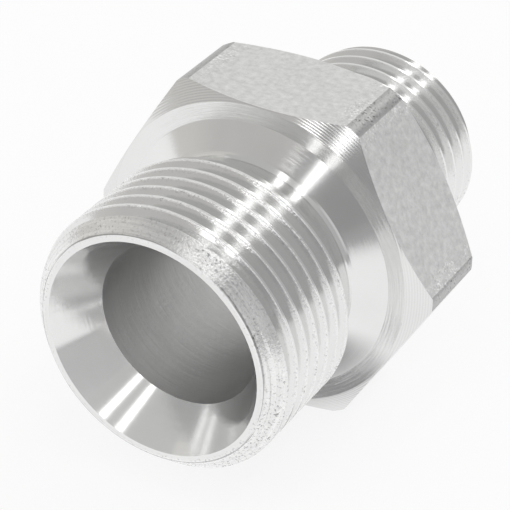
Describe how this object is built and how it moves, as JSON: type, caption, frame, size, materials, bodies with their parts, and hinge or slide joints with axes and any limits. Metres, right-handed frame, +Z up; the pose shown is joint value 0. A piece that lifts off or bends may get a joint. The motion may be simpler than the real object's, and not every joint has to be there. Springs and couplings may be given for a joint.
{
  "type": "reducing adapter",
  "caption": "Turned steel pipe adapter with a hexagon between a large and a small male parallel thread, and a cone seat in each end.",
  "frame": {"origin": "on the ground under the middle of the hexagon, with the fitting lying on one flat", "axes": "+Y along the fitting's axis towards the small end, +Z up through the middle of the top flat"},
  "size_m": [0.0362, 0.0452, 0.032],
  "materials": {
    "zinc_plated_steel": "bright zinc plate over turned steel"
  },
  "bodies": {
    "root": {"adapter_body": "zinc_plated_steel"}
  },
  "joints": []
}
